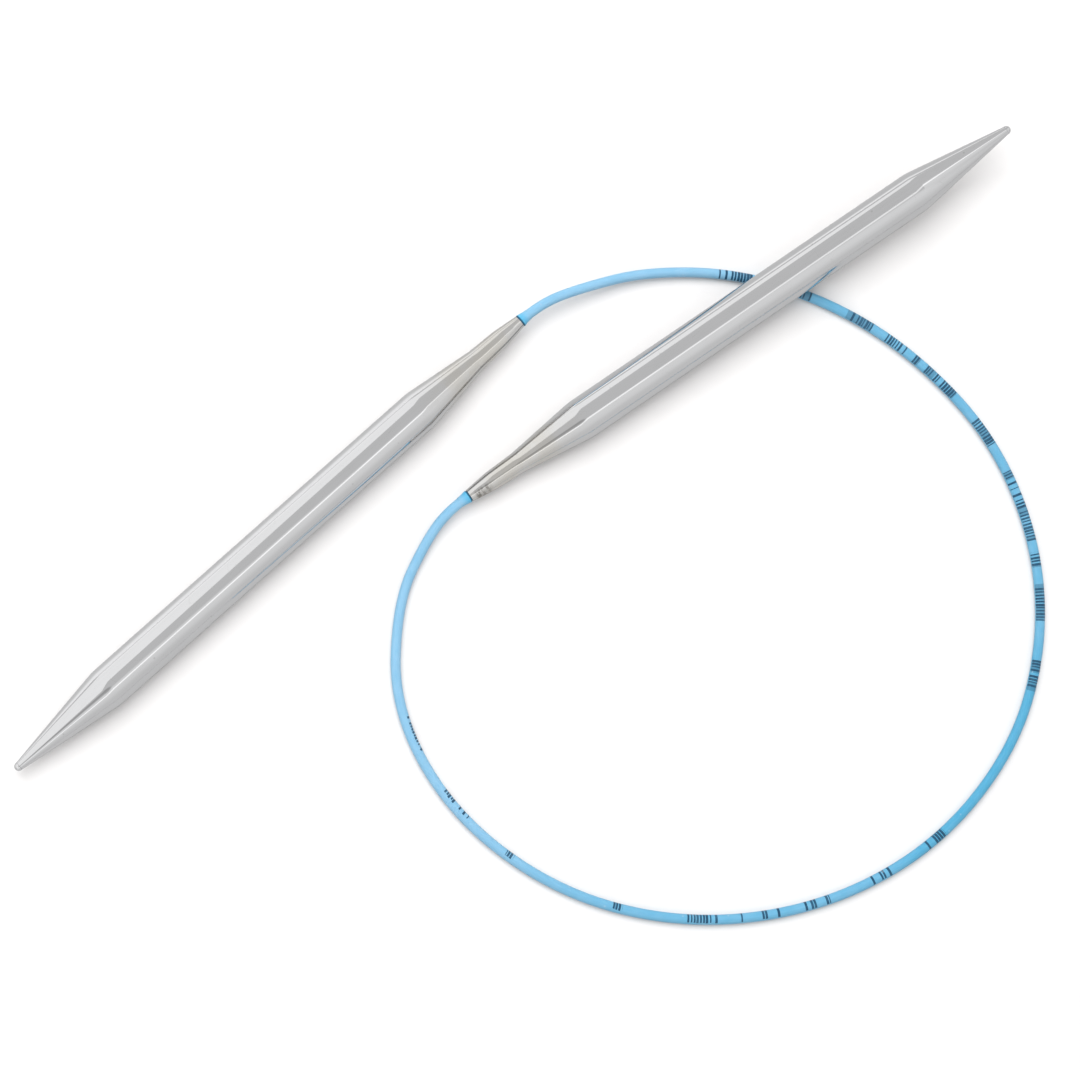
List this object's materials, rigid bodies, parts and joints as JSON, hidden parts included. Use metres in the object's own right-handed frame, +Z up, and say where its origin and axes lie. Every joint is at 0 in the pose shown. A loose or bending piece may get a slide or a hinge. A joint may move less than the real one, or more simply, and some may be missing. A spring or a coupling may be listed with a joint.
{
  "type": "circular knitting needle",
  "caption": "Fixed circular knitting needle: hollow polished metal needles with tapered points, joined for good by a flexible nylon cord that lies in a loop.",
  "frame": {"origin": "on the table, under the middle of the box round the needles", "axes": "+Z up from the table, +X along the long side of the pair as it lies, towards the point of needle B"},
  "size_m": [0.1946, 0.1513, 0.0115],
  "materials": {
    "nickel_plate": "mirror-polished nickel plate",
    "brass_ferrule": "drawn brass, crimped",
    "nylon_cord": "glossy sky-blue nylon with dark blue printed bars",
    "nylon_collar": "glossy sky-blue nylon"
  },
  "bodies": {
    "cord": {"cord_loop": "nylon_cord", "cord_flex_a": "nylon_cord", "cord_flex_b": "nylon_cord"},
    "needle_a": {"needle_a_shell": "nickel_plate", "needle_a_point": "nickel_plate", "needle_a_ferrule": "brass_ferrule", "needle_a_collar": "nylon_collar", "cord_end_a": "nylon_cord"},
    "needle_b": {"needle_b_shell": "nickel_plate", "needle_b_point": "nickel_plate", "needle_b_ferrule": "brass_ferrule", "needle_b_collar": "nylon_collar", "cord_end_b": "nylon_cord"}
  },
  "joints": [
    {"name": "needle_a_swing", "type": "hinge", "parent": "cord", "child": "needle_a", "pos_m": [0.0166, 0.0309, 0.0026], "axis": [0, 0, 1], "range_deg": [-60, 12], "stiffness_Nm_per_rad": 0.028, "deforming": ["cord_flex_a"]},
    {"name": "needle_b_swing", "type": "hinge", "parent": "cord", "child": "needle_b", "pos_m": [-0.023, -0.0343, 0.00095], "axis": [0, 0, 1], "range_deg": [-60, 0], "stiffness_Nm_per_rad": 0.018, "deforming": ["cord_flex_b"]}
  ]
}
